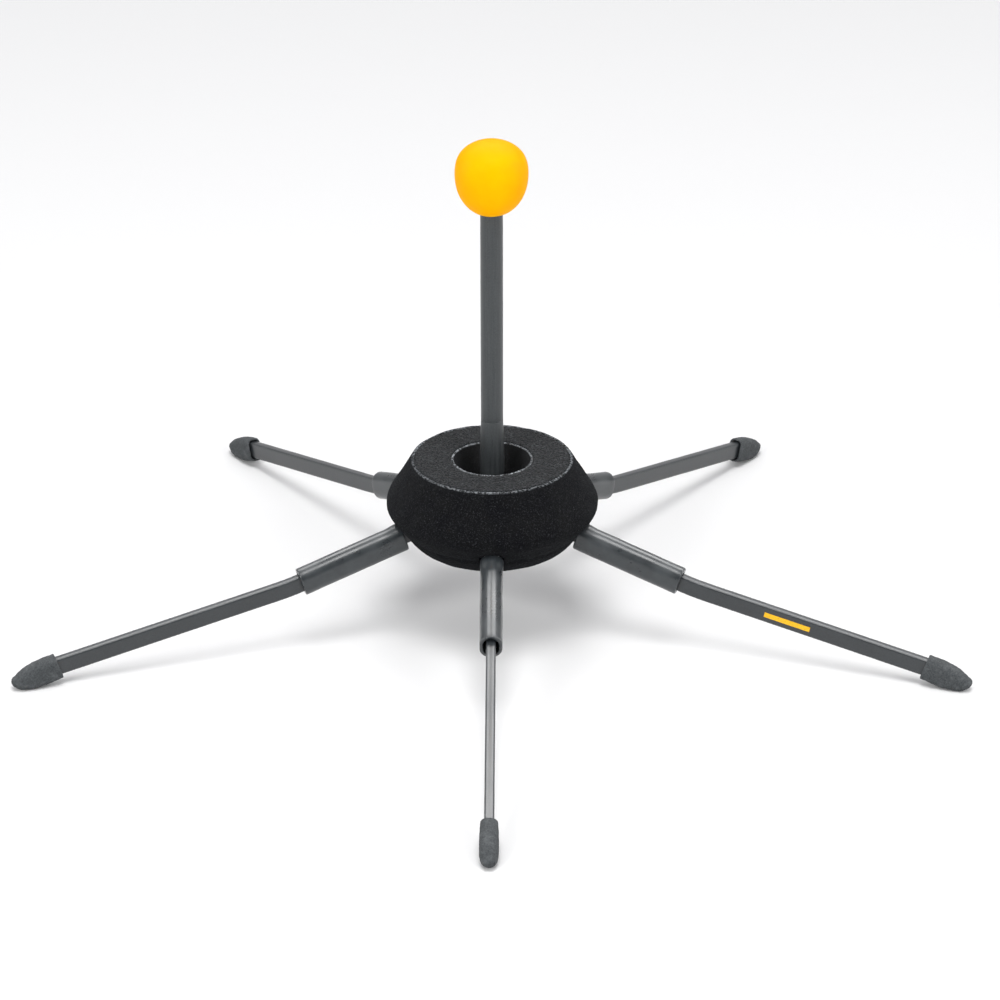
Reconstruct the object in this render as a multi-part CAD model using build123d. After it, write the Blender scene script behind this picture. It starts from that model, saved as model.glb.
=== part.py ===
from build123d import *

import math
import os

# Folding trumpet stand that stands inside the bell: a capped shaft that slides in a hub, a
# foam doughnut that the bell rests on, and five bar legs that fold down about pins in the hub.
# Millimetres. +Z is up, the floor is z = 0, and the shaft's axis is the Z axis.
# The front leg points along -Y. Outlines are drawn as (radius, height).

# ---- driving dimensions -------------------------------------------------------------------

LEG_NAMES = ["front", "front_right", "rear_right", "rear_left", "front_left"]
FRONT_AZIMUTH = -90.0
LEG_PITCH = 360.0 / len(LEG_NAMES)
MARKED_LEG = "front_right"

# Shaft, ferrule and cap.
SHAFT_R = 3.5
SHAFT_BORE_R = 2.5
SEAM_Z = 70.5
TUBE_TOP_Z = 146.0
FERRULE_R = 3.85
FERRULE_TAPER_Z = 56.5
FERRULE_BOTTOM_Z = 30.7
SPIGOT_LENGTH = 13.0
CAP_TOP_Z = 163.0
CAP_SHOULDER = (8.0, 160.35)
CAP_BROW = (10.05, 158.1)
CAP_WIDEST = (11.27, 152.6)
CAP_WAIST = (9.86, 145.6)
CAP_HIP = (7.9, 142.6)
CAP_BOTTOM = (4.2, 140.0)
CAP_BOTTOM_TANGENT = (-1, -0.35)
INSERT_HEAD_R = 4.6
INSERT_HEAD_HEIGHT = 6.0
INSERT_STEM_LENGTH = 15.0
STOP_HEAD_R = 4.7
STOP_HEAD_HEIGHT = 2.0
STOP_SHANK_R = 1.5
STOP_SHANK_LENGTH = 9.0
STOP_SOCKET_R = 1.25
STOP_SOCKET_DEPTH = 1.3

# Foam doughnut with a velvet skin.
BAFFLE_TOP_Z = 56.9
BAFFLE_TOP_R = 25.3
BAFFLE_HOLE_R = 12.1
BAFFLE_BELLY = (34.5, 41.7)
BAFFLE_BELLY_FILLET = 4.7
BAFFLE_FOOT_R = 23.3
BAFFLE_BOTTOM_Z = 28.5
BAFFLE_FOOT_FILLET = 4.0
VELVET = 0.8
BAR_NOTCH_WIDTH = 4.6
BAR_NOTCH_CLEARANCE = 0.8
GUARD_NOTCH_CLEARANCE = 0.6
GUARD_SWING_R = 17.8

# Hub, in two halves split at the hinge pins.
HUB_R = 16.2
HUB_TOP_Z = 46.0
HUB_BOTTOM_Z = 31.0
HUB_CHAMFER = 0.6
PIVOT = (11.5, 40.7)
SLOT_WIDTH = 3.4
SLOT_INNER_R = 8.2
STOP_CLEARANCE = 0.15
PIN_R = 1.0
PIN_LENGTH = 8.6
PIN_RUNNING = 0.05
BUSH_R = 6.3
BUSH_BORE_R = 3.9
BUSH_FLANGE_R = 8.5
BUSH_FLANGE = 1.2
GRIP_SECTION_R = 0.65
GRIP_Z = 43.8
GRIP_GROOVE_SLACK = 0.03
SCREW_CIRCLE_R = 12.0
SCREW_R = 1.0
SCREW_LENGTH = 12.0
SCREW_HEAD_R = 1.9
SCREW_HEAD_HEIGHT = 1.4
SCREW_CLEARANCE = 0.15
SCREW_CROSS_WIDTH = 0.5
SCREW_CROSS_DEPTH = 0.8

# Leg bar.
BAR_HEIGHT = 5.6
BAR_WIDTH = 3.0
BEND = (65.4, 21.9)
BEND_RADIUS = 80.0
OUTER_SLOPE = math.radians(11.64)
BAR_END_R = 148.2
BAR_EDGE = 0.4
BAR_TIP_FILLET = 1.2
BAR_ROOT_FILLET = BAR_HEIGHT / 2 - 0.05

# Guard: a soft sleeve, oval in section, stretched over the bar. One has crept inwards.
GUARD_START = (29.35, 33.9)
GUARD_SLOPE = math.radians(17.9)
GUARD_LENGTH = 35.4
GUARD_WIDTH = 7.0
GUARD_HEIGHT = 9.1
GUARD_WALL = 1.2
GUARD_END_ROUND = 0.3
GUARD_CREEP = {"front_right": -0.9}

# Foot: sections from mouth to nose, each (bottom point, top point, width, corner radius).
FOOT_SECTIONS = [
    ((140.3, 2.3), (142.8, 10.0), 5.6, 1.8),
    ((144.6, 0.95), (146.2, 9.0), 5.6, 2.2),
    ((149.0, -0.15), (149.8, 7.65), 5.5, 2.6),
    ((152.4, -0.1), (152.7, 6.3), 4.9, 2.35),
    ((154.7, 0.6), (154.9, 4.8), 3.5, 1.65),
    ((156.0, 1.8), (156.1, 3.8), 1.7, 0.75),
]
FOOT_LIP = 0.8
FOOT_LIP_DEPTH = 2.6

# Plain stripe printed on one leg.
MARK_START = 25.0
MARK_LENGTH = 15.0
MARK_HEIGHT = 1.6
MARK_THICK = 0.12

BEYOND = 60.0

# ---- helpers ------------------------------------------------------------------------------


def save(node, shape):
    shape.label = node
    export_step(shape, f"parts/{node}.step")


def upright(sketch, width):
    """Solid of a sketch drawn as (radius, height), this wide across the leg."""
    return extrude(Plane.XZ * sketch, amount=width / 2, both=True)


def turned(outline):
    """Solid of revolution about Z of a closed outline of (radius, height) edges."""
    return revolve(Plane.XZ * make_face(outline), axis=Axis.Z)


def disc(radius, low, high):
    return Pos(0, 0, low) * Cylinder(
        radius, high - low, align=(Align.CENTER, Align.CENTER, Align.MIN)
    )


def tube(outer, inner, low, high):
    return disc(outer, low, high) - disc(inner, low, high)


def around(shape, turn=0.0):
    """The shape once at each leg's azimuth, turned on by a further angle."""
    return [
        Rot(0, 0, FRONT_AZIMUTH + LEG_PITCH * i + turn) * shape
        for i in range(len(LEG_NAMES))
    ]


def outwards(start, slope, distance, lift=0.0):
    """The point this far along a line that falls outwards, lifted square to the line."""
    return (
        start[0] + distance * math.cos(slope) + lift * math.sin(slope),
        start[1] - distance * math.sin(slope) + lift * math.cos(slope),
    )


def guard_plane(distance):
    """A plane square to the guard's centre line, this far beyond its usual inner end."""
    radius, height = outwards(GUARD_START, GUARD_SLOPE, distance)
    along = (math.cos(GUARD_SLOPE), 0, -math.sin(GUARD_SLOPE))
    return Plane(origin=(radius, 0, height), x_dir=(0, 1, 0), z_dir=along)


INNER_SLOPE = math.atan2(PIVOT[1] - BEND[1], BEND[0] - PIVOT[0])

# ---- shaft --------------------------------------------------------------------------------


def shaft_tube():
    return tube(SHAFT_R, SHAFT_BORE_R, SEAM_Z, TUBE_TOP_Z)


def shaft_ferrule():
    spigot_top = SEAM_Z + SPIGOT_LENGTH
    body = turned(
        Polyline(
            (0, FERRULE_BOTTOM_Z),
            (FERRULE_R, FERRULE_BOTTOM_Z),
            (FERRULE_R, FERRULE_TAPER_Z),
            (SHAFT_R, SEAM_Z),
            (SHAFT_BORE_R, SEAM_Z),
            (SHAFT_BORE_R, spigot_top),
            (0, spigot_top),
            close=True,
        )
    )
    return body - disc(STOP_SHANK_R, FERRULE_BOTTOM_Z, FERRULE_BOTTOM_Z + STOP_SHANK_LENGTH)


def stop_screw():
    head_bottom = FERRULE_BOTTOM_Z - STOP_HEAD_HEIGHT
    head = disc(STOP_HEAD_R, head_bottom, FERRULE_BOTTOM_Z)
    head = fillet(head.edges().sort_by(Axis.Z)[0], STOP_HEAD_HEIGHT / 3)
    shank = disc(STOP_SHANK_R, FERRULE_BOTTOM_Z, FERRULE_BOTTOM_Z + STOP_SHANK_LENGTH)
    socket = Plane.XY.offset(head_bottom) * RegularPolygon(STOP_SOCKET_R, 6)
    return head + shank - extrude(socket, amount=STOP_SOCKET_DEPTH)


def cap_insert():
    stem = disc(SHAFT_BORE_R, TUBE_TOP_Z - INSERT_STEM_LENGTH, TUBE_TOP_Z)
    return stem + disc(INSERT_HEAD_R, TUBE_TOP_Z, TUBE_TOP_Z + INSERT_HEAD_HEIGHT)


def shaft_cap():
    dome = Spline((0, CAP_TOP_Z), CAP_SHOULDER, CAP_BROW, CAP_WIDEST, tangents=[(1, 0), (0, -1)])
    taper = Spline(
        CAP_WIDEST, CAP_WAIST, CAP_HIP, CAP_BOTTOM, tangents=[(0, -1), CAP_BOTTOM_TANGENT]
    )
    base = Polyline(CAP_BOTTOM, (0, CAP_BOTTOM[1]), (0, CAP_TOP_Z))
    cap = turned(dome + taper + base)
    return cap - disc(SHAFT_R, CAP_BOTTOM[1], TUBE_TOP_Z) - cap_insert()


# ---- hub ----------------------------------------------------------------------------------


def hinge_pin():
    return Pos(PIVOT[0], 0, PIVOT[1]) * Rot(90, 0, 0) * Cylinder(PIN_R, PIN_LENGTH)


def leg_slot():
    """Room for one leg's root: open outwards and below, with a sloping roof as its stop."""
    roof = BAR_HEIGHT / 2 + STOP_CLEARANCE
    swing = Polygon(
        PIVOT,
        outwards(PIVOT, INNER_SLOPE, 0, roof),
        outwards(PIVOT, INNER_SLOPE, BEYOND, roof),
        (BEYOND, 0),
        (SLOT_INNER_R, 0),
        (SLOT_INNER_R, PIVOT[1] - BAR_HEIGHT / 2),
        (PIVOT[0] - roof, PIVOT[1]),
        align=None,
    )
    return upright(swing + Pos(*PIVOT) * Circle(roof), SLOT_WIDTH)


def screw_holes(radius, low, high):
    return around(Pos(SCREW_CIRCLE_R, 0, 0) * disc(radius, low, high), LEG_PITCH / 2)


def hub_body():
    body = disc(HUB_R, PIVOT[1], HUB_TOP_Z)
    body = chamfer(body.edges().sort_by(Axis.Z)[-1], HUB_CHAMFER)
    thread_top = HUB_BOTTOM_Z + SCREW_LENGTH
    return (
        body
        - disc(BUSH_R, PIVOT[1], HUB_TOP_Z)
        - around(leg_slot())
        - around(hinge_pin())
        - screw_holes(SCREW_R, PIVOT[1], thread_top)
    )


def hub_retainer():
    plate = disc(HUB_R, HUB_BOTTOM_Z, PIVOT[1])
    plate = chamfer(plate.edges().sort_by(Axis.Z)[0], HUB_CHAMFER)
    return (
        plate
        - disc(BUSH_R, HUB_BOTTOM_Z, PIVOT[1])
        - around(leg_slot())
        - around(hinge_pin())
        - screw_holes(SCREW_R + SCREW_CLEARANCE, HUB_BOTTOM_Z, PIVOT[1])
    )


def hub_screws():
    head_bottom = HUB_BOTTOM_Z - SCREW_HEAD_HEIGHT
    head = disc(SCREW_HEAD_R, head_bottom, HUB_BOTTOM_Z)
    head = fillet(head.edges().sort_by(Axis.Z)[0], SCREW_HEAD_HEIGHT / 3)
    arm = Pos(0, 0, head_bottom) * Box(
        2 * SCREW_R,
        SCREW_CROSS_WIDTH,
        SCREW_CROSS_DEPTH,
        align=(Align.CENTER, Align.CENTER, Align.MIN),
    )
    screw = head + disc(SCREW_R, HUB_BOTTOM_Z, HUB_BOTTOM_Z + SCREW_LENGTH)
    screw = screw - arm - Rot(0, 0, 90) * arm
    return Compound(children=around(Pos(SCREW_CIRCLE_R, 0, 0) * screw, LEG_PITCH / 2))


def hinge_pins():
    return Compound(children=around(hinge_pin()))


def grip_ring():
    return Pos(0, 0, GRIP_Z) * Torus(BUSH_BORE_R + GRIP_SECTION_R, GRIP_SECTION_R)


def shaft_bush():
    sleeve = disc(BUSH_R, HUB_BOTTOM_Z, HUB_TOP_Z)
    sleeve += disc(BUSH_FLANGE_R, HUB_TOP_Z, HUB_TOP_Z + BUSH_FLANGE)
    groove_half = GRIP_SECTION_R + GRIP_GROOVE_SLACK
    groove = disc(BUSH_BORE_R + 2 * groove_half, GRIP_Z - groove_half, GRIP_Z + groove_half)
    return sleeve - disc(BUSH_BORE_R, HUB_BOTTOM_Z, HUB_TOP_Z + BUSH_FLANGE) - groove


# ---- doughnut -----------------------------------------------------------------------------


def baffle_section(top_z):
    """Half section of the doughnut's outside, its cone carried up to this height."""
    cone = (BAFFLE_BELLY[0] - BAFFLE_TOP_R) / (BAFFLE_TOP_Z - BAFFLE_BELLY[1])
    return make_face(
        FilletPolyline(
            (0, BAFFLE_BOTTOM_Z),
            (0, top_z),
            (BAFFLE_BELLY[0] - cone * (top_z - BAFFLE_BELLY[1]), top_z),
            BAFFLE_BELLY,
            (BAFFLE_FOOT_R, BAFFLE_BOTTOM_Z),
            radius=[0, 0, 0, BAFFLE_BELLY_FILLET, BAFFLE_FOOT_FILLET],
            close=True,
        )
    )


def baffle_core():
    """What the velvet wraps: the outside set back by its thickness, except at the top."""
    section = offset(baffle_section(BAFFLE_TOP_Z + VELVET), -VELVET, kind=Kind.INTERSECTION)
    rest = Pos(VELVET, 0) * Rectangle(
        2 * VELVET, BEYOND, align=(Align.CENTER, Align.MIN)
    )
    half = section + rest & baffle_section(BAFFLE_TOP_Z)
    return revolve(Plane.XZ * half, axis=Axis.Z)


def bar_notches():
    """The gaps in the doughnut's underside that the bars swing down through."""
    roof = BAR_HEIGHT / 2 + BAR_NOTCH_CLEARANCE
    gap = Polygon(
        outwards(PIVOT, INNER_SLOPE, 0, roof),
        outwards(PIVOT, INNER_SLOPE, BEYOND, roof),
        (BEYOND, 0),
        (PIVOT[0], 0),
        align=None,
    )
    return around(upright(gap, BAR_NOTCH_WIDTH))


def guard_notches():
    """Arches that the guards' inner ends lie in and swing down out of."""
    half = GUARD_WIDTH / 2 + GUARD_NOTCH_CLEARANCE
    arch_height = (GUARD_HEIGHT - GUARD_WIDTH) / 2
    below_arch = Rectangle(2 * half, BEYOND, align=(Align.CENTER, Align.MAX))
    arch = Pos(0, arch_height) * (Circle(half) + below_arch)
    gap = extrude(guard_plane(-GUARD_HEIGHT) * arch, amount=BEYOND)
    return around(gap - upright(Pos(*PIVOT) * Circle(GUARD_SWING_R), 4 * half))


def notched(shape):
    return shape - disc(HUB_R, BAFFLE_BOTTOM_Z, HUB_TOP_Z) - bar_notches() - guard_notches()


def baffle_foam():
    hole = disc(BAFFLE_HOLE_R + VELVET, BAFFLE_BOTTOM_Z, BAFFLE_TOP_Z)
    return notched(baffle_core() - hole)


def baffle_cover():
    outside = revolve(Plane.XZ * baffle_section(BAFFLE_TOP_Z), axis=Axis.Z)
    return notched(outside - baffle_core())


def baffle_lining():
    return tube(BAFFLE_HOLE_R + VELVET, BAFFLE_HOLE_R, HUB_TOP_Z, BAFFLE_TOP_Z)


# ---- legs ---------------------------------------------------------------------------------


def leg_bar():
    half = BAR_HEIGHT / 2
    end = outwards(BEND, OUTER_SLOPE, (BAR_END_R - BEND[0]) / math.cos(OUTER_SLOPE))
    mitre = (INNER_SLOPE + OUTER_SLOPE) / 2
    reach = half / math.cos((INNER_SLOPE - OUTER_SLOPE) / 2)
    outline = FilletPolyline(
        outwards(PIVOT, INNER_SLOPE, -half, half),
        outwards(BEND, mitre, 0, reach),
        outwards(end, OUTER_SLOPE, 0, half),
        outwards(end, OUTER_SLOPE, 0, -half),
        outwards(BEND, mitre, 0, -reach),
        outwards(PIVOT, INNER_SLOPE, -half, -half),
        radius=[
            BAR_ROOT_FILLET,
            BEND_RADIUS - half,
            BAR_TIP_FILLET,
            BAR_TIP_FILLET,
            BEND_RADIUS + half,
            BAR_ROOT_FILLET,
        ],
        close=True,
    )
    bar = upright(make_face(outline), BAR_WIDTH)
    sides = bar.faces().sort_by(Axis.Y)
    bar = fillet(sides[0].edges() + sides[-1].edges(), BAR_EDGE)
    hole = Cylinder(PIN_R + PIN_RUNNING, 2 * BAR_WIDTH)
    return bar - Pos(PIVOT[0], 0, PIVOT[1]) * Rot(90, 0, 0) * hole


def leg_guard(creep):
    start = guard_plane(creep)
    outer = SlotOverall(GUARD_HEIGHT, GUARD_WIDTH, rotation=90)
    inner = SlotOverall(GUARD_HEIGHT - 2 * GUARD_WALL, GUARD_WIDTH - 2 * GUARD_WALL, rotation=90)
    sleeve = extrude(start * outer, amount=GUARD_LENGTH)
    ends = [face for face in sleeve.faces() if abs(face.normal_at().dot(start.z_dir)) > 0.99]
    sleeve = fillet([edge for face in ends for edge in face.edges()], GUARD_END_ROUND)
    return sleeve - extrude(start * inner, amount=GUARD_LENGTH)


def foot_section(bottom, top, width, corner):
    height = math.dist(bottom, top)
    centre = ((bottom[0] + top[0]) / 2, 0, (bottom[1] + top[1]) / 2)
    up = (top[0] - bottom[0], 0, top[1] - bottom[1])
    outward = (up[2], 0, -up[0])
    plane = Plane(origin=centre, x_dir=(0, 1, 0), z_dir=outward)
    return plane * RectangleRounded(width, height, corner)


def leg_foot():
    block = loft([foot_section(*section) for section in FOOT_SECTIONS])
    floor = Pos(FOOT_SECTIONS[-1][0][0], 0, 0) * Box(
        BEYOND, BEYOND, BEYOND, align=(Align.CENTER, Align.CENTER, Align.MAX)
    )
    bottom, top, width, _ = FOOT_SECTIONS[0]
    mouth = foot_section(bottom, top, width, FOOT_LIP)
    lip = offset(mouth, -FOOT_LIP, kind=Kind.ARC)
    return block - floor - extrude(lip, amount=FOOT_LIP_DEPTH)


def leg_mark():
    start = outwards(BEND, OUTER_SLOPE, MARK_START)
    centre = outwards(start, OUTER_SLOPE, MARK_LENGTH / 2)
    stripe = Box(MARK_LENGTH, MARK_THICK, MARK_HEIGHT)
    tilt = Rot(0, math.degrees(OUTER_SLOPE), 0)
    return Pos(centre[0], -(BAR_WIDTH + MARK_THICK) / 2, centre[1]) * tilt * stripe


# ---- write the parts ----------------------------------------------------------------------


def build():
    os.makedirs("parts", exist_ok=True)
    save("shaft_tube", shaft_tube())
    save("shaft_ferrule", shaft_ferrule())
    save("shaft_cap", shaft_cap())
    save("cap_insert", cap_insert())
    save("stop_screw", stop_screw())
    save("hub_body", hub_body())
    save("hub_retainer", hub_retainer())
    save("hub_screws", hub_screws())
    save("hinge_pins", hinge_pins())
    save("shaft_bush", shaft_bush())
    save("grip_ring", grip_ring())
    save("baffle_foam", baffle_foam())
    save("baffle_cover", baffle_cover())
    save("baffle_lining", baffle_lining())
    bar = leg_bar()
    foot = leg_foot() - bar
    for i, name in enumerate(LEG_NAMES):
        turn = Rot(0, 0, FRONT_AZIMUTH + LEG_PITCH * i)
        save(f"leg_bar_{name}", turn * bar)
        save(f"leg_guard_{name}", turn * leg_guard(GUARD_CREEP.get(name, 0)))
        save(f"leg_foot_{name}", turn * foot)
        if name == MARKED_LEG:
            save("leg_mark", turn * leg_mark())


build()
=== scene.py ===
"""Looks of a folding trumpet stand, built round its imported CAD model.

The scene is in metres with +Z up. Outlines are drawn in millimetres and scaled by MM when
their mesh is made.
"""

import math

import bmesh
import bpy
import numpy as np
from mathutils import Matrix, Vector, noise


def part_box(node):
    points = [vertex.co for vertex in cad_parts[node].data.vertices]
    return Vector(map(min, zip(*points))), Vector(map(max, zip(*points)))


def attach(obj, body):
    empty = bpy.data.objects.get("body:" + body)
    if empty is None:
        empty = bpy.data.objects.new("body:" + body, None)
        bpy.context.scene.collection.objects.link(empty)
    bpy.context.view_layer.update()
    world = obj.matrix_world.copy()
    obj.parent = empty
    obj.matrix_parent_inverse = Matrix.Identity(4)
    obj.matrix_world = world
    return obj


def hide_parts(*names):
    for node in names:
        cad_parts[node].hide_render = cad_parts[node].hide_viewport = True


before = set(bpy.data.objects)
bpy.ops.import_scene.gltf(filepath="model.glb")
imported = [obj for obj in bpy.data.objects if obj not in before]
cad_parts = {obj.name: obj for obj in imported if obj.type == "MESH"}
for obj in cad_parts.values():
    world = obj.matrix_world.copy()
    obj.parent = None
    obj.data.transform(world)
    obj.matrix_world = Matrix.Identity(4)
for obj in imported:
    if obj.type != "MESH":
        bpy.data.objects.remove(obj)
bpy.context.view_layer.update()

MM = 0.001
LEGS = ["front", "front_right", "rear_right", "rear_left", "front_left"]
FRONT_AZIMUTH = -90.0
LEG_PITCH = 360.0 / len(LEGS)

# ---- camera, floor and light --------------------------------------------------------------

CAMERA_ELEVATION = math.radians(27.577)
CAMERA_DISTANCE = 1.2579
CAMERA_LENS = 141.13
CAMERA_TURN = math.radians(0.444)
CAMERA_YAW = math.radians(-0.1137)
CAMERA_PITCH = math.radians(1.7332)
CAMERA_ROLL = math.radians(0.1377)
CAMERA_CLIP = (0.05, 40)
FLOOR_RADIUS = 9.0
FLOOR_SEGMENTS = 96
FLOOR_GREY = 0.8
FLOOR_ROUGHNESS = 0.9
DOME_BRIGHT_SIDE = (0, 0.45, 0.89)
DOME_GREYS = [(0.05, 0.12), (0.85, 1.0)]
DOME_BLUE = 1.02
DOME_STRENGTH = 0.82
LIGHT_TARGET = Vector((0, 0, 0.06))
# name, place, size and watts of each softbox
SOFTBOXES = [
    ("overhead", (0.02, -0.6, 2.2), (1.0, 1.0), 29),
    ("fill_left", (-0.75, -1.0, 0.75), (0.45, 0.45), 8),
    ("fill_right", (0.8, -0.9, 0.7), (0.45, 0.45), 6.5),
]
# these show in highlights only
GLOSS_LIGHTS = [
    ("behind", (0.05, 0.85, 1.25), (1.6, 0.7), 23),
    ("strip_left", (-1.1, 0.1, 0.5), (0.25, 0.9), 8),
    ("strip_right", (1.1, 0.1, 0.5), (0.25, 0.9), 10),
]


def make_camera():
    """A long lens in front of the stand, a little above it, turned to frame it."""
    data = bpy.data.cameras.new("camera")
    data.lens = CAMERA_LENS
    data.clip_start, data.clip_end = CAMERA_CLIP
    camera = bpy.data.objects.new("camera", data)
    bpy.context.scene.collection.objects.link(camera)
    turn = Matrix.Rotation(CAMERA_TURN, 4, "Z")
    across = -CAMERA_DISTANCE * math.cos(CAMERA_ELEVATION)
    above = CAMERA_DISTANCE * math.sin(CAMERA_ELEVATION)
    aim = Matrix.Rotation(math.pi / 2 - CAMERA_ELEVATION, 4, "X")
    aim @= Matrix.Rotation(CAMERA_YAW, 4, "Y")
    aim @= Matrix.Rotation(CAMERA_PITCH, 4, "X")
    aim @= Matrix.Rotation(-CAMERA_ROLL, 4, "Z")
    camera.matrix_world = turn @ Matrix.Translation((0, across, above)) @ aim
    bpy.context.scene.camera = camera


def area_light(name, place, size, watts, gloss_only):
    """A softbox aimed at the stand. A gloss-only one shows in highlights and casts no shade."""
    data = bpy.data.lights.new(name, "AREA")
    data.shape = "RECTANGLE"
    data.size, data.size_y = size
    data.energy = watts
    light = bpy.data.objects.new(name, data)
    light.location = place
    light.rotation_euler = (LIGHT_TARGET - Vector(place)).to_track_quat("-Z", "Y").to_euler()
    light.visible_diffuse = not gloss_only
    bpy.context.scene.collection.objects.link(light)


def make_world():
    """A studio dome, bright overhead and behind, and dark on the viewer's side."""
    world = bpy.data.worlds.new("studio")
    bpy.context.scene.world = world
    world.use_nodes = True
    nodes, links = world.node_tree.nodes, world.node_tree.links
    nodes.clear()
    coordinates = nodes.new("ShaderNodeTexCoord")
    towards = nodes.new("ShaderNodeVectorMath")
    towards.operation = "DOT_PRODUCT"
    towards.inputs[1].default_value = DOME_BRIGHT_SIDE
    ramp = nodes.new("ShaderNodeValToRGB")
    for stop, (position, grey) in zip(ramp.color_ramp.elements, DOME_GREYS):
        stop.position = position
        stop.color = (grey, grey, grey * DOME_BLUE, 1)
    dome = nodes.new("ShaderNodeBackground")
    dome.inputs["Strength"].default_value = DOME_STRENGTH
    seen = nodes.new("ShaderNodeBackground")
    seen.inputs["Color"].default_value = (1, 1, 1, 1)
    path = nodes.new("ShaderNodeLightPath")
    mix = nodes.new("ShaderNodeMixShader")
    output = nodes.new("ShaderNodeOutputWorld")
    links.new(coordinates.outputs["Generated"], towards.inputs[0])
    links.new(towards.outputs["Value"], ramp.inputs["Fac"])
    links.new(ramp.outputs["Color"], dome.inputs["Color"])
    links.new(path.outputs["Is Camera Ray"], mix.inputs["Fac"])
    links.new(dome.outputs[0], mix.inputs[1])
    links.new(seen.outputs[0], mix.inputs[2])
    links.new(mix.outputs[0], output.inputs["Surface"])


def make_stage():
    """The plain pale floor, the studio dome and the softboxes."""
    mesh = bpy.data.meshes.new("floor")
    shape = bmesh.new()
    bmesh.ops.create_circle(shape, cap_ends=True, segments=FLOOR_SEGMENTS, radius=FLOOR_RADIUS)
    shape.to_mesh(mesh)
    shape.free()
    floor = bpy.data.objects.new("floor", mesh)
    bpy.context.scene.collection.objects.link(floor)
    material = bpy.data.materials.new("floor_white")
    material.use_nodes = True
    surface = material.node_tree.nodes["Principled BSDF"]
    surface.inputs["Base Color"].default_value = (FLOOR_GREY, FLOOR_GREY, FLOOR_GREY, 1)
    surface.inputs["Roughness"].default_value = FLOOR_ROUGHNESS
    surface.inputs["Specular IOR Level"].default_value = 0.0
    mesh.materials.append(material)
    make_world()
    for light in SOFTBOXES:
        area_light(*light, gloss_only=False)
    for light in GLOSS_LIGHTS:
        area_light(*light, gloss_only=True)
    bpy.context.scene.view_settings.view_transform = "Standard"


# ---- materials ----------------------------------------------------------------------------


class Surface:
    """A Principled material being made. Constants go on its sockets, texture goes in by links."""

    def __init__(self, name, **constants):
        self.material = bpy.data.materials.new(name)
        self.material.use_nodes = True
        self.tree = self.material.node_tree
        self.shader = self.tree.nodes["Principled BSDF"]
        for socket, value in constants.items():
            self.shader.inputs[socket.replace("_", " ")].default_value = value
        self.object_space = self.tree.nodes.new("ShaderNodeTexCoord").outputs["Object"]

    def add(self, kind, settings=None, **inputs):
        """A node with its settings and inputs; an input is a value or a socket to link."""
        node = self.tree.nodes.new(kind)
        for name, value in (settings or {}).items():
            setattr(node, name, value)
        for socket, value in inputs.items():
            target = node.inputs[socket.replace("_", " ")]
            if isinstance(value, bpy.types.NodeSocket):
                self.tree.links.new(value, target)
            else:
                target.default_value = value
        return node

    def stretched(self, scale):
        """Object space scaled along each axis, for grain longer one way than another."""
        return self.add("ShaderNodeMapping", Vector=self.object_space, Scale=scale).outputs[0]

    def grain(self, size, detail=3.0, roughness=0.6, space=None, distortion=0.0):
        """Noise from 0 to 1 whose lumps are this size in metres."""
        return self.add(
            "ShaderNodeTexNoise",
            Vector=space or self.object_space,
            Scale=1 / size,
            Detail=detail,
            Roughness=roughness,
            Distortion=distortion,
        ).outputs["Fac"]

    def cells(self, size):
        """Distance from the middle of the nearest of cells of this size in metres."""
        texture = self.add("ShaderNodeTexVoronoi", Vector=self.object_space, Scale=1 / size)
        return texture.outputs["Distance"]

    def remap(self, value, low, high, to_low=0.0, to_high=1.0):
        """The value stretched from one range to another and held inside it."""
        node = self.add(
            "ShaderNodeMapRange",
            From_Min=low,
            From_Max=high,
            To_Min=to_low,
            To_Max=to_high,
        )
        self.tree.links.new(value, node.inputs["Value"])
        return node.outputs["Result"]

    def combined(self, first, second, operation):
        """Two values, each a number or a socket, put together by this Math operation."""
        node = self.tree.nodes.new("ShaderNodeMath")
        node.operation = operation
        for socket, value in zip(node.inputs, (first, second)):
            if isinstance(value, bpy.types.NodeSocket):
                self.tree.links.new(value, socket)
            else:
                socket.default_value = value
        return node.outputs[0]

    def sum(self, first, second):
        """One value added to the other."""
        return self.combined(first, second, "ADD")

    def product(self, first, second):
        """One value times the other."""
        return self.combined(first, second, "MULTIPLY")

    def blend(self, share, first, second):
        """Between two colours, each a tuple or a socket, by a share from 0 to 1."""
        node = self.tree.nodes.new("ShaderNodeMix")
        node.data_type = "RGBA"
        self.tree.links.new(share, node.inputs["Factor"])
        for name, colour in (("A", first), ("B", second)):
            socket = [s for s in node.inputs if s.name == name and s.type == "RGBA"][0]
            if isinstance(colour, bpy.types.NodeSocket):
                self.tree.links.new(colour, socket)
            else:
                socket.default_value = (*colour, 1)
        return [s for s in node.outputs if s.type == "RGBA"][0]

    def height(self):
        """The object-space height of the point being shaded."""
        split = self.tree.nodes.new("ShaderNodeSeparateXYZ")
        self.tree.links.new(self.object_space, split.inputs[0])
        return split.outputs["Z"]

    def colour(self, socket):
        """Drives the base colour."""
        self.tree.links.new(socket, self.shader.inputs["Base Color"])

    def roughness(self, socket):
        """Drives the roughness."""
        self.tree.links.new(socket, self.shader.inputs["Roughness"])

    def bumps(self, *layers):
        """Bump from (height socket, depth in metres) layers, one on top of the other."""
        normal = None
        for value, depth in layers:
            node = self.add("ShaderNodeBump", Distance=depth, Strength=1.0)
            self.tree.links.new(value, node.inputs["Height"])
            if normal is not None:
                self.tree.links.new(normal, node.inputs["Normal"])
            normal = node.outputs["Normal"]
        self.tree.links.new(normal, self.shader.inputs["Normal"])


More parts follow.
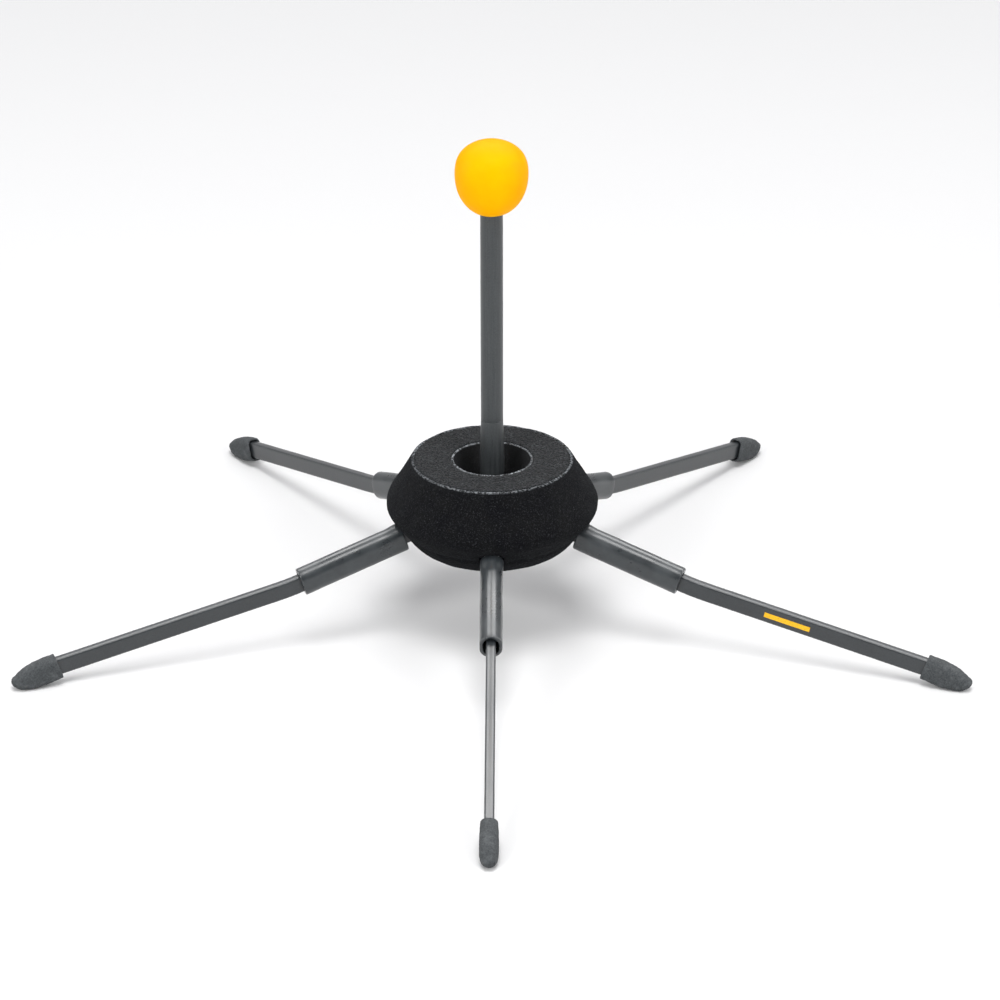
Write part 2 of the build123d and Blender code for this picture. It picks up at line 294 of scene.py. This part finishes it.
def cap_yellow():
    """Soft-touch moulded yellow with a faint handled bloom."""
    s = Surface("cap_yellow", Specular_IOR_Level=0.02, Subsurface_Weight=0.12)
    s.shader.inputs["Subsurface Radius"].default_value = (0.004, 0.002, 0.0004)
    s.shader.inputs["Subsurface Scale"].default_value = 0.5
    mottle = s.remap(s.grain(6 * MM, 4), 0.3, 0.7)
    s.colour(s.blend(mottle, (0.95, 0.405, 0.0), (0.98, 0.44, 0.0)))
    s.roughness(s.remap(s.grain(2 * MM), 0.3, 0.7, 0.40, 0.55))
    s.bumps((s.grain(0.5 * MM, 2), 0.012 * MM), (s.grain(3 * MM, 2), 0.03 * MM))
    return s.material


def shaft_paint():
    """Satin charcoal paint on drawn tube: lines along its length under a fine speckle."""
    s = Surface("shaft_paint", Metallic=0.25, Coat_Weight=0.2, Coat_Roughness=0.3)
    drawn = s.grain(0.5 * MM, 3, space=s.stretched((1, 1, 0.03)))
    speckle = s.grain(0.35 * MM, 2)
    tone = s.remap(s.sum(drawn, speckle), 0.7, 1.3)
    s.colour(s.blend(tone, (0.024, 0.028, 0.030), (0.050, 0.056, 0.059)))
    s.roughness(s.remap(drawn, 0.3, 0.7, 0.34, 0.48))
    s.bumps((drawn, 0.010 * MM), (speckle, 0.012 * MM))
    return s.material


def leg_paint():
    """Satin powder coat: fine orange peel, small dust specks and rubbed patches."""
    s = Surface("leg_paint", Coat_Weight=0.35, Coat_Roughness=0.2)
    peel = s.grain(0.45 * MM, 2)
    specks = s.remap(s.cells(1.6 * MM), 0.02, 0.12, 1.0, 0.0)
    rubbed = s.remap(s.grain(14 * MM, 5, 0.65), 0.45, 0.75)
    tone = s.sum(s.remap(peel, 0.3, 0.7, 0.0, 0.55), s.product(rubbed, 0.35))
    base = s.blend(tone, (0.013, 0.016, 0.0185), (0.029, 0.034, 0.038))
    s.colour(s.blend(s.product(specks, 0.3), base, (0.08, 0.085, 0.09)))
    s.roughness(s.remap(rubbed, 0, 1, 0.32, 0.46))
    s.bumps((peel, 0.010 * MM))
    return s.material


def guard_vinyl():
    """Soft vinyl sleeve: smooth, with faint flow lines and fingered gloss."""
    s = Surface("guard_vinyl", Specular_IOR_Level=0.5, Coat_Weight=0.45, Coat_Roughness=0.24)
    flow = s.grain(1.2 * MM, 3, space=s.stretched((0.08, 1, 1)))
    bloom = s.remap(s.grain(7 * MM, 4), 0.35, 0.7)
    s.colour(s.blend(bloom, (0.016, 0.020, 0.023), (0.030, 0.036, 0.040)))
    s.roughness(s.remap(s.sum(flow, bloom), 0.5, 1.4, 0.26, 0.42))
    s.bumps((flow, 0.006 * MM), (s.grain(0.3 * MM, 2), 0.003 * MM))
    return s.material


def foot_rubber():
    """Matte moulded rubber, finely mottled and scuffed pale in patches."""
    s = Surface("foot_rubber", Specular_IOR_Level=0.25)
    mottle = s.remap(s.grain(0.55 * MM, 5, 0.75, distortion=0.5), 0.34, 0.68)
    scuffs = s.remap(s.grain(3.0 * MM, 6, 0.75), 0.50, 0.70)
    base = s.blend(mottle, (0.027, 0.030, 0.033), (0.086, 0.094, 0.098))
    s.colour(s.blend(s.product(scuffs, 0.35), base, (0.17, 0.18, 0.185)))
    s.roughness(s.remap(mottle, 0, 1, 0.72, 0.9))
    s.bumps((mottle, 0.08 * MM), (s.grain(0.25 * MM, 3), 0.03 * MM))
    return s.material


def cut_foam():
    """Open face of cut foam: pores darkened as painted shade in the pits of the bump, with pale
    broken walls between.
    """
    s = Surface("cut_foam", Specular_IOR_Level=0.08, Sheen_Weight=0.08, Sheen_Roughness=0.4)
    cells = s.remap(s.cells(0.8 * MM), 0.1, 0.6)
    flecks = s.remap(s.grain(0.45 * MM, 4, 0.85), 0.49, 0.63)
    patches = s.remap(s.grain(4 * MM, 3), 0.3, 0.7, 0.55, 1.0)
    base = s.blend(s.product(flecks, patches), (0.006, 0.007, 0.008), (0.108, 0.115, 0.126))
    # painted shade: darkest at the cell centres, where the bump is deepest
    s.colour(s.blend(cells, (0.005, 0.006, 0.007), base))
    s.roughness(s.remap(flecks, 0, 1, 0.8, 0.97))
    s.bumps((cells, 0.22 * MM), (flecks, 0.12 * MM))
    return s.material


def velvet(name, rim_low, rim_high, fray_and_highlight, painted_lift=0.0):
    """Black velvet whose top edge, between these heights, has a broken pale band, partly frayed
    pile and partly painted highlight; a lift lightens its blacks as painted light.
    """
    s = Surface(name, Specular_IOR_Level=0.04, Sheen_Weight=0.03, Sheen_Roughness=0.3)
    s.shader.inputs["Sheen Tint"].default_value = (0.75, 0.8, 0.88, 1)
    pile = s.remap(s.grain(0.3 * MM, 4, 0.8), 0.35, 0.68)
    lint = s.remap(s.grain(0.42 * MM, 4, 0.85), 0.55, 0.67)
    nap = s.remap(s.grain(5 * MM, 4, 0.6), 0.35, 0.7)
    # the lift raises the blacks as painted light, for a lining that gets little light
    black = s.blend(nap, (0.0025 + painted_lift, 0.0025 + painted_lift, 0.0035 + painted_lift), (0.006 + painted_lift,) * 3)
    tufted = s.blend(s.product(pile, 0.4), black, (0.014, 0.0155, 0.018))
    specked = s.blend(s.product(lint, 0.6), tufted, (0.085, 0.09, 0.096))
    # broken pale band along the top edge: partly frayed pile, partly painted highlight
    broken = s.product(s.remap(s.grain(0.6 * MM, 3, 0.8), 0.46, 0.58), fray_and_highlight)
    fray_and_highlight_band = s.product(s.remap(s.height(), rim_low, rim_high), broken)
    s.colour(s.blend(fray_and_highlight_band, specked, (0.5, 0.53, 0.56)))
    s.roughness(s.remap(pile, 0, 1, 0.8, 0.98))
    s.bumps((pile, 0.16 * MM), (nap, 0.12 * MM))
    return s.material


def hub_nylon():
    """Moulded glass-filled nylon: fine spark-eroded grain."""
    s = Surface("hub_nylon", Specular_IOR_Level=0.4)
    grain = s.grain(0.3 * MM, 3, 0.7)
    s.colour(s.blend(s.remap(grain, 0.3, 0.7), (0.016, 0.017, 0.018), (0.034, 0.035, 0.037)))
    s.roughness(s.remap(s.grain(4 * MM, 4), 0.3, 0.7, 0.48, 0.66))
    s.bumps((grain, 0.04 * MM))
    return s.material


def turned_finish(name, dark, pale, metallic, rough):
    """Lathe-turned part: fine rings up its axis."""
    s = Surface(name, Metallic=metallic)
    rings = s.grain(0.18 * MM, 2, space=s.stretched((0.02, 0.02, 1)))
    s.colour(s.blend(s.remap(rings, 0.3, 0.7), dark, pale))
    s.roughness(s.remap(rings, 0.3, 0.7, rough, rough + 0.14))
    s.bumps((rings, 0.01 * MM))
    return s.material


def plated_steel():
    """Black zinc plate with a faint blue-brown bloom and small rubs."""
    s = Surface("plated_steel", Metallic=0.9)
    bloom = s.remap(s.grain(1.5 * MM, 4), 0.3, 0.7)
    s.colour(s.blend(bloom, (0.085, 0.09, 0.10), (0.17, 0.165, 0.155)))
    s.roughness(s.remap(s.grain(0.6 * MM, 3), 0.3, 0.7, 0.28, 0.46))
    s.bumps((s.grain(0.2 * MM, 2), 0.006 * MM))
    return s.material


def grip_rubber():
    """Plain black rubber with a little dust."""
    s = Surface("grip_rubber", Specular_IOR_Level=0.4)
    dust = s.remap(s.grain(0.8 * MM, 5, 0.7), 0.4, 0.7)
    s.colour(s.blend(dust, (0.010, 0.010, 0.010), (0.035, 0.035, 0.034)))
    s.roughness(s.remap(dust, 0, 1, 0.45, 0.7))
    s.bumps((dust, 0.02 * MM))
    return s.material


def mark_yellow():
    """Screen-printed stripe with pinholes and slightly starved ink."""
    s = Surface("mark_yellow", Specular_IOR_Level=0.35)
    ink = s.remap(s.grain(0.35 * MM, 4, 0.7), 0.33, 0.5)
    s.colour(s.blend(ink, (0.50, 0.27, 0.01), (0.93, 0.50, 0.01)))
    s.roughness(s.remap(ink, 0, 1, 0.55, 0.4))
    s.bumps((ink, 0.01 * MM))
    return s.material


# ---- mesh helpers -------------------------------------------------------------------------


def unit(vector):
    """The vector at length 1."""
    vector = np.array(vector, float)
    return vector / np.linalg.norm(vector)


def spline(points, first, last, count):
    """Clamped cubic spline through points, leaving and arriving along these directions."""
    knots = np.array(points, float)
    spans = np.linalg.norm(np.diff(knots, axis=0), axis=1)
    system = np.eye(len(knots))
    wanted = np.zeros_like(knots)
    wanted[0], wanted[-1] = unit(first), unit(last)
    for i in range(1, len(knots) - 1):
        before, after = spans[i - 1], spans[i]
        system[i, i - 1 : i + 2] = 1 / before, 2 / before + 2 / after, 1 / after
        rises = (knots[i] - knots[i - 1]) / before**2 + (knots[i + 1] - knots[i]) / after**2
        wanted[i] = 3 * rises
    slopes = np.linalg.solve(system, wanted)
    ends = np.concatenate([[0], np.cumsum(spans)])
    line = []
    for t in np.linspace(0, ends[-1], count + 1):
        i = min(int(np.searchsorted(ends, t, "right")) - 1, len(spans) - 1)
        u = (t - ends[i]) / spans[i]
        line.append(
            (1 + 2 * u) * (1 - u) ** 2 * knots[i]
            + u * (1 - u) ** 2 * spans[i] * slopes[i]
            + u * u * (3 - 2 * u) * knots[i + 1]
            + u * u * (u - 1) * spans[i] * slopes[i + 1]
        )
    return np.array(line)


def rounded(corners, steps=6):
    """Outline of (x, y, radius) corners with each corner turned by an arc; open at its ends."""
    line = []
    for i, (x, y, radius) in enumerate(corners):
        here = np.array((x, y), float)
        if radius == 0 or i in (0, len(corners) - 1):
            line.append(here)
            continue
        back = unit(np.array(corners[i - 1][:2]) - here)
        on = unit(np.array(corners[i + 1][:2]) - here)
        half = math.acos(np.clip(back @ on, -1, 1)) / 2
        centre = here + unit(back + on) * radius / math.sin(half)
        start = here + back * radius / math.tan(half) - centre
        end = here + on * radius / math.tan(half) - centre
        sweep = math.pi - 2 * half
        for k in range(steps + 1):
            a, b = math.sin(sweep * (1 - k / steps)), math.sin(sweep * k / steps)
            line.append(centre + (a * start + b * end) / math.sin(sweep))
    return np.array(line)


def spaced(line, step):
    """The line with points added so that no stretch is longer than the step."""
    points = [line[0]]
    for a, b in zip(line, line[1:]):
        pieces = max(1, math.ceil(np.linalg.norm(b - a) / step))
        points += [a + (b - a) * k / pieces for k in range(1, pieces + 1)]
    return np.array(points)


def add_piece(name, shape, material):
    """An object from a bmesh, cleaned, facing outwards and smooth."""
    bmesh.ops.remove_doubles(shape, verts=shape.verts, dist=1e-8)
    bmesh.ops.recalc_face_normals(shape, faces=shape.faces)
    mesh = bpy.data.meshes.new(name)
    shape.to_mesh(mesh)
    shape.free()
    mesh.shade_smooth()
    mesh.materials.append(material)
    piece = bpy.data.objects.new(name, mesh)
    bpy.context.scene.collection.objects.link(piece)
    return piece


def skin(rings, cap_ends):
    """A bmesh of quads between closed rings of points, its end rings capped if wanted."""
    shape = bmesh.new()
    rows = [[shape.verts.new(point) for point in ring] for ring in rings]
    for low, high in zip(rows, rows[1:]):
        for i in range(len(low)):
            j = (i + 1) % len(low)
            shape.faces.new((low[i], low[j], high[j], high[i]))
    if cap_ends:
        shape.faces.new(rows[0])
        shape.faces.new(rows[-1])
    return shape


def lathe(line, segments):
    """A bmesh of a (radius, height) line turned about Z. Its ends lie on the axis or meet."""
    angles = [2 * math.pi * k / segments for k in range(segments)]
    rings = [[(r * math.cos(a), r * math.sin(a), z) for a in angles] for r, z in line]
    return skin(rings, False)


def settle(piece, body, slot, *nodes):
    """The piece rides on its body and stands for its CAD nodes; the slot is not used."""
    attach(piece, body)
    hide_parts(*nodes)


def roughened(piece, layers, seed=0.0):
    """Moves each vertex along its normal by layers of noise, each (lump size, depth)."""
    mesh = piece.data
    offset = Vector((seed, 2 * seed, 3 * seed))
    normals = [v.normal.copy() for v in mesh.vertices]
    for vertex, normal in zip(mesh.vertices, normals):
        rise = sum(depth * noise.noise(vertex.co / size + offset) for size, depth in layers)
        vertex.co += normal * rise
    mesh.update()


# ---- shaft --------------------------------------------------------------------------------

# points are (radius, height)
CAP_DOME = [(0, 163.0), (8.0, 160.35), (10.05, 158.1), (11.27, 152.6)]
CAP_TAPER = [(11.27, 152.6), (9.86, 145.6), (7.9, 142.6), (4.2, 140.0)]
CAP_TAPER_END = (-1, -0.35)
CAP_DOME_STEPS = 40
CAP_TAPER_STEPS = 36
CAP_GAP = 0.05
CAP_MOUTH_DROP = 0.15
CAP_MOUTH_ROUND = 0.25
CAP_DENTS = [(7 * MM, 0.06 * MM)]
SHAFT_EDGE = 0.16
TUBE_WALL = 1.0
SPIGOT_GAP = 0.02
SPIGOT_ROUND = 0.3
SCREW_SHANK_R = 1.5
SCREW_HOLE_DEPTH = 9.0
SCREW_HOLE_ROUND = 0.1
FERRULE_EDGE = 0.4
SHOULDER_Z = 56.5
SHOULDER_ROUND = 8.0
CAP_STEP = 1.0
CAP_SEGMENTS = 160
SHAFT_STEP = 2.0
SHAFT_SEGMENTS = 96


def make_cap():
    """The bulb, hollow round the tube's end and the insert's head."""
    tube_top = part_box("shaft_tube")[1].z / MM
    tube_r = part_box("shaft_tube")[1].x / MM
    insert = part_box("cap_insert")[1] / MM
    dome = spline(CAP_DOME, (1, 0), (0, -1), CAP_DOME_STEPS)
    taper = spline(CAP_TAPER, (0, -1), CAP_TAPER_END, CAP_TAPER_STEPS)
    throat = rounded(
        [
            (*CAP_TAPER[-1], 0),
            (tube_r + CAP_GAP, CAP_TAPER[-1][1] - CAP_MOUTH_DROP, CAP_MOUTH_ROUND),
            (tube_r + CAP_GAP, tube_top, 0),
            (insert.x + CAP_GAP, tube_top, 0),
            (insert.x + CAP_GAP, insert.z + CAP_GAP, 0),
            (0, insert.z + CAP_GAP, 0),
        ]
    )
    line = np.concatenate([dome, taper[1:], spaced(throat, CAP_STEP)[1:]])
    piece = add_piece("cap", lathe(line * MM, CAP_SEGMENTS), cap_yellow())
    roughened(piece, CAP_DENTS)
    settle(piece, "shaft", "cap_yellow", "shaft_cap")


def make_tube(material):
    """The tube, with its cut ends eased."""
    low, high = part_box("shaft_tube")
    r, bottom, top = high.x / MM, low.z / MM, high.z / MM
    bore = r - TUBE_WALL
    line = rounded(
        [
            (bore, (bottom + top) / 2, 0),
            (bore, bottom, SHAFT_EDGE),
            (r, bottom, SHAFT_EDGE),
            (r, top, SHAFT_EDGE),
            (bore, top, SHAFT_EDGE),
            (bore, (bottom + top) / 2, 0),
        ]
    )
    shape = lathe(spaced(line, SHAFT_STEP) * MM, SHAFT_SEGMENTS)
    piece = add_piece("shaft_tube_painted", shape, material)
    settle(piece, "shaft", "shaft_paint", "shaft_tube")


def make_ferrule(material):
    """The thicker lower end: a taper up to the tube, a spigot inside it, a screw hole below."""
    low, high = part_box("shaft_ferrule")
    wide, seam = high.x / MM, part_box("shaft_tube")[0].z / MM
    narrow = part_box("shaft_tube")[1].x / MM
    spigot = narrow - TUBE_WALL - SPIGOT_GAP
    hole_top = low.z / MM + SCREW_HOLE_DEPTH
    line = rounded(
        [
            (0, hole_top, 0),
            (SCREW_SHANK_R, hole_top, 0),
            (SCREW_SHANK_R, low.z / MM, SCREW_HOLE_ROUND),
            (wide, low.z / MM, FERRULE_EDGE),
            (wide, SHOULDER_Z, SHOULDER_ROUND),
            (narrow, seam, SHAFT_EDGE),
            (spigot, seam, 0),
            (spigot, high.z / MM, SPIGOT_ROUND),
            (0, high.z / MM, 0),
        ]
    )
    shape = lathe(spaced(line, SHAFT_STEP) * MM, SHAFT_SEGMENTS)
    piece = add_piece("shaft_ferrule_painted", shape, material)
    settle(piece, "shaft", "shaft_paint", "shaft_ferrule")


# ---- doughnut -----------------------------------------------------------------------------

FOAM_GRID = 0.42 * MM
COVER_GRID = FOAM_GRID * 0.85
LINING_GRID = FOAM_GRID * 0.75
SOFTENING = 3
SOFTENING_FACTOR = 0.5
# depth of the velvet's pale top band of fray and painted highlight
RIM_DEPTH = 0.45 * MM
FOAM_CUT = [(0.6 * MM, 0.10 * MM), (2.2 * MM, 0.08 * MM)]
COVER_PILE = [(0.5 * MM, 0.09 * MM), (6 * MM, 0.16 * MM)]
LINING_PILE = [(0.5 * MM, 0.10 * MM), (3 * MM, 0.10 * MM)]
CREASE_HEIGHT = 34.7 * MM
CREASE_SPREAD = 1.0 * MM
CREASE_DEPTH = 0.45 * MM
FULL_HEIGHT = 32.0 * MM
FULL_SPREAD = 3.2 * MM
FULLNESS = 0.7 * MM


def soft_copy(name, node, grid, softening=SOFTENING):
    """An even mesh of a CAD solid with its edges eased."""
    piece = bpy.data.objects.new(name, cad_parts[node].data.copy())
    bpy.context.scene.collection.objects.link(piece)
    remesh = piece.modifiers.new("even", "REMESH")
    remesh.mode = "VOXEL"
    remesh.voxel_size = grid
    ease = piece.modifiers.new("ease", "SMOOTH")
    ease.factor = SOFTENING_FACTOR
    ease.iterations = softening
    evaluated = piece.evaluated_get(bpy.context.evaluated_depsgraph_get())
    piece.data = bpy.data.meshes.new_from_object(evaluated)
    piece.data.name = name
    piece.modifiers.clear()
    piece.data.materials.clear()
    piece.data.shade_smooth()
    return piece


def creased(piece):
    """Draws the piece in along a crease round under its belly, and fills it out below."""
    for vertex in piece.data.vertices:
        radius = math.hypot(vertex.co.x, vertex.co.y)
        above_crease = (vertex.co.z - CREASE_HEIGHT) / CREASE_SPREAD
        above_full = (vertex.co.z - FULL_HEIGHT) / FULL_SPREAD
        out = FULLNESS * math.exp(-(above_full**2)) - CREASE_DEPTH * math.exp(-(above_crease**2))
        vertex.co.x *= 1 + out / radius
        vertex.co.y *= 1 + out / radius


def make_doughnut():
    """Cut foam between a velvet cover and a velvet lining, each an even, softened skin."""
    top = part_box("baffle_foam")[1].z
    foam = soft_copy("doughnut_foam", "baffle_foam", FOAM_GRID)
    foam.data.materials.append(cut_foam())
    roughened(foam, FOAM_CUT, seed=1.0)
    settle(foam, "base", "foam", "baffle_foam")
    cover = soft_copy("doughnut_cover", "baffle_cover", COVER_GRID)
    # the cover's top edge gets the pale band of fray and painted highlight
    cover.data.materials.append(velvet("velvet_cover", top - RIM_DEPTH, top, fray_and_highlight=0.65))
    creased(cover)
    roughened(cover, COVER_PILE, seed=2.0)
    settle(cover, "base", "velvet", "baffle_cover")
    lining = soft_copy("doughnut_lining", "baffle_lining", LINING_GRID)
    # the lining is a lighter copy of the cover velvet as painted light, with a stronger band of
    # fray and painted highlight at its top edge
    painted_lit_velvet = velvet("velvet_lining", top - RIM_DEPTH, top, fray_and_highlight=1.0, painted_lift=0.03)
    lining.data.materials.append(painted_lit_velvet)
    roughened(lining, LINING_PILE, seed=3.0)
    settle(lining, "base", "velvet", "baffle_lining")


# ---- legs ---------------------------------------------------------------------------------


def leg_turn(index):
    """From a leg drawn along +X to its place round the stand."""
    return Matrix.Rotation(math.radians(FRONT_AZIMUTH + LEG_PITCH * index), 4, "Z")


# ---- leg bars -----------------------------------------------------------------------------

BAR_GRID = 0.3 * MM
BAR_SOFTENING = 18
# distance out from the axis and height of the pin
HINGE = (11.5, 40.7)
EYE_R = 1.1


def make_bar(index, name, material):
    """The bar with its edges rolled over under thick paint, and its hinge eye kept open."""
    piece = soft_copy(f"bar_{name}", f"leg_bar_{name}", BAR_GRID, BAR_SOFTENING)
    piece.data.materials.append(material)
    turn = leg_turn(index)
    hinge = turn @ (Vector((HINGE[0], 0, HINGE[1])) * MM)
    pin_axis = turn @ Vector((0, 1, 0))
    for vertex in piece.data.vertices:
        away = vertex.co - hinge
        away -= pin_axis * away.dot(pin_axis)
        if away.length < EYE_R * MM:
            vertex.co += away * (EYE_R * MM / away.length - 1)
    settle(piece, f"leg_{name}", "leg_paint", f"leg_bar_{name}")


# ---- leg guards ---------------------------------------------------------------------------

# distance out from the axis and height of the inner end's middle
GUARD_START = (29.35, 33.9)
# how far a guard has slid along its bar
GUARD_CREEP = {"front_right": -0.9}
GUARD_SLOPE = math.radians(17.9)
GUARD_LENGTH = 35.4
GUARD_WIDTH = 7.0
GUARD_HEIGHT = 9.1
GUARD_WALL = 1.2
GUARD_ROUND = 0.45
GUARD_LIP_STEPS = 5
GUARD_STATIONS = 24
GUARD_WAVES = [(9 * MM, 0.10 * MM), (3 * MM, 0.015 * MM)]
GUARD_FLARE = 0.42
GUARD_FLARE_LENGTH = 4.5
GUARD_FLARE_RISE = 2.4


def oval(width, height, steps=14, side=4):
    """Closed ring of (across, up) points: straight sides and half-round ends."""
    reach, radius = (height - width) / 2, width / 2
    ring = []
    for end in (0, 1):
        sign = 1 - 2 * end
        for k in range(steps + 1):
            angle = math.pi * (end + k / steps)
            ring.append((radius * math.cos(angle), sign * reach + radius * math.sin(angle)))
        for k in range(1, side):
            ring.append((-sign * radius, sign * reach * (1 - 2 * k / side)))
    return ring


def make_guard(index, name, material):
    """A soft sleeve: an oval tube with round lips at both ends, stretched over the bar."""
    along = np.array((math.cos(GUARD_SLOPE), 0, -math.sin(GUARD_SLOPE)))
    up = np.array((math.sin(GUARD_SLOPE), 0, math.cos(GUARD_SLOPE)))
    start = np.array((GUARD_START[0], 0, GUARD_START[1])) + along * GUARD_CREEP.get(name, 0)

    def ring(distance, inset):
        """One oval round the bar. The inner end's top flares to fill the doughnut's arch."""
        flare = GUARD_FLARE * max(0, 1 - (distance / GUARD_FLARE_LENGTH) ** 2)
        line = []
        for u, v in oval(GUARD_WIDTH - 2 * inset, GUARD_HEIGHT - 2 * inset):
            swell = 1 + flare * min(1, max(0, v) / GUARD_FLARE_RISE) / math.hypot(u, v)
            line.append((start + along * distance + (0, u * swell, 0) + up * v * swell) * MM)
        return line

    turns = np.linspace(math.pi / 2, 0, GUARD_LIP_STEPS + 1)
    near = [(GUARD_ROUND * (1 - math.sin(a)), GUARD_ROUND * (1 - math.cos(a))) for a in turns]
    far = [(GUARD_LENGTH - distance, inset) for distance, inset in reversed(near)]
    middle = np.linspace(GUARD_ROUND, GUARD_LENGTH - GUARD_ROUND, GUARD_STATIONS)[1:-1]
    outside = near + [(distance, 0) for distance in middle] + far
    inside = [(distance, GUARD_WALL - inset) for distance, inset in reversed(outside)]
    rings = [ring(distance, inset) for distance, inset in outside + inside + outside[:1]]
    piece = add_piece(f"guard_{name}", skin(rings, False), material)
    roughened(piece, GUARD_WAVES, seed=5.0 + index)
    piece.matrix_world = leg_turn(index)
    settle(piece, f"leg_{name}", "guard_plastic", f"leg_guard_{name}")


# ---- leg feet -----------------------------------------------------------------------------

# points are (distance out from the axis, height)
FOOT_TOP = [(142.8, 10.0), (146.2, 9.05), (149.7, 7.75), (152.7, 6.2), (154.9, 4.6), (156.2, 2.8)]
FOOT_BOTTOM = [(140.3, 2.3), (144.4, 1.1), (147.6, 0.35), (150.6, 0.0), (153.9, 0.3), (156.2, 2.8)]
FOOT_TOP_START = (3, -0.9)
FOOT_BOTTOM_START = (4, -1)
FOOT_WIDTH = 5.6
# the mouth is narrower by this share, up to FOOT_FULL of the length; the nose starts at FOOT_NOSE
FOOT_PINCH = 0.07
FOOT_FULL = 0.35
FOOT_NOSE = 0.52
FOOT_CORNER = 2.1
FOOT_LEAST_CORNER = 0.5
FOOT_LEAST_SIDE = 0.02
FOOT_LIP = 0.8
FOOT_LIP_DEPTH = 2.6
FOOT_LIP_STEPS = 6
FOOT_WALL_STEPS = 4
FOOT_PLUG_INSET = 1.2
FOOT_PLUG_DEPTH = 0.1
FOOT_GRAIN = [(1.1 * MM, 0.10 * MM), (0.5 * MM, 0.05 * MM)]
FOOT_STATIONS = 46
FOOT_SAMPLES = 400


def rounded_box(width, height, corner, steps=6, side=7):
    """Closed ring of (across, up) points: a rectangle with round corners."""
    corner = min(corner, width / 2 - 1e-4, height / 2 - 1e-4)
    x, y = width / 2 - corner, height / 2 - corner
    centres = [(x, y), (-x, y), (-x, -y), (x, -y)]
    ring = []
    for quarter, (cx, cy) in enumerate(centres):
        for k in range(steps + 1):
            angle = math.pi / 2 * (quarter + k / steps)
            ring.append((cx + corner * math.cos(angle), cy + corner * math.sin(angle)))
        nx, ny = centres[(quarter + 1) % 4]
        angle = math.pi / 2 * (quarter + 1)
        ax, ay = corner * math.cos(angle), corner * math.sin(angle)
        for k in range(1, side):
            share = k / side
            ring.append((cx + (nx - cx) * share + ax, cy + (ny - cy) * share + ay))
    return ring


def make_foot(index, name, material):
    """A rubber boot: open mouth round the bar, level sole, round nose."""
    tops = spline(FOOT_TOP, FOOT_TOP_START, (0, -1), FOOT_SAMPLES)
    bottoms = spline(FOOT_BOTTOM, FOOT_BOTTOM_START, (0, 1), FOOT_SAMPLES)

    def section(share, narrower=0.0, deeper=0.0):
        """The boot's ring at this share of its length, drawn in or pushed down its mouth."""
        at = round(FOOT_SAMPLES * share)
        top, bottom = tops[at], bottoms[at]
        # the two lines meet at the nose's tip
        up = unit(top - bottom) if at < FOOT_SAMPLES else np.array((0, 1))
        height = max(np.linalg.norm(top - bottom) - 2 * narrower, FOOT_LEAST_SIDE)
        nose = max(0, (share - FOOT_NOSE) / (1 - FOOT_NOSE))
        pinch = FOOT_PINCH * max(0, 1 - share / FOOT_FULL) ** 2
        width = FOOT_WIDTH * (1 - pinch) * math.sqrt(max(0, 1 - nose**2))
        width = max(width - 2 * narrower, FOOT_LEAST_SIDE)
        outward = np.array((up[1], -up[0]))
        centre = (top + bottom) / 2 + outward * deeper
        corner = max(FOOT_CORNER - narrower, FOOT_LEAST_CORNER)
        ring = []
        for u, v in rounded_box(width, height, corner):
            r, z = centre + up * v
            ring.append((r * MM, u * MM, max(z, 0) * MM))
        return ring

    lip = np.linspace(0, math.pi, FOOT_LIP_STEPS + 1)
    half = FOOT_LIP / 2
    mouth = [section(0, half - half * math.cos(a), -half * math.sin(a)) for a in lip]
    shares = np.sin(np.linspace(0, math.pi / 2, FOOT_STATIONS))
    outside = [section(s) for s in shares[1:]]
    depths = np.linspace(0, FOOT_LIP_DEPTH, FOOT_WALL_STEPS + 1)[1:]
    inside = [section(0, FOOT_LIP, d) for d in depths]
    plug = [section(0, FOOT_LIP + FOOT_PLUG_INSET, FOOT_LIP_DEPTH + FOOT_PLUG_DEPTH)]
    shape = skin(plug + inside[::-1] + mouth[::-1] + outside, True)
    piece = add_piece(f"foot_{name}", shape, material)
    roughened(piece, FOOT_GRAIN, seed=20.0 + index)
    for vertex in piece.data.vertices:
        vertex.co.z = max(vertex.co.z, 0)
    piece.matrix_world = leg_turn(index)
    settle(piece, f"leg_{name}", "foot_rubber", f"leg_foot_{name}")


# ---- every leg ----------------------------------------------------------------------------


def make_legs():
    """The bar, guard and foot of each, in its own place round the stand."""
    vinyl, rubber, paint = guard_vinyl(), foot_rubber(), leg_paint()
    for index, name in enumerate(LEGS):
        make_bar(index, name, paint)
        make_guard(index, name, vinyl)
        make_foot(index, name, rubber)


# ---- CAD pieces that stay -----------------------------------------------------------------


def refinish(node, material):
    """Puts the material on a CAD node in place of its own."""
    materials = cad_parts[node].data.materials
    materials.clear()
    materials.append(material)


def refinish_hardware():
    """Materials of the hub, its fasteners, the bush and the other pieces kept from CAD."""
    nylon, steel = hub_nylon(), plated_steel()
    refinish("hub_body", nylon)
    refinish("hub_retainer", nylon)
    refinish("hub_screws", steel)
    refinish("hinge_pins", steel)
    refinish("stop_screw", steel)
    acetal = turned_finish("turned_acetal", (0.035, 0.035, 0.038), (0.06, 0.06, 0.064), 0, 0.34)
    refinish("shaft_bush", acetal)
    aluminium = turned_finish("turned_aluminium", (0.55, 0.55, 0.57), (0.75, 0.75, 0.77), 1, 0.2)
    refinish("cap_insert", aluminium)
    refinish("grip_ring", grip_rubber())
    refinish("leg_mark", mark_yellow())


# ---- build --------------------------------------------------------------------------------

make_camera()
make_stage()
paint = shaft_paint()
make_cap()
make_tube(paint)
make_ferrule(paint)
make_doughnut()
make_legs()
refinish_hardware()
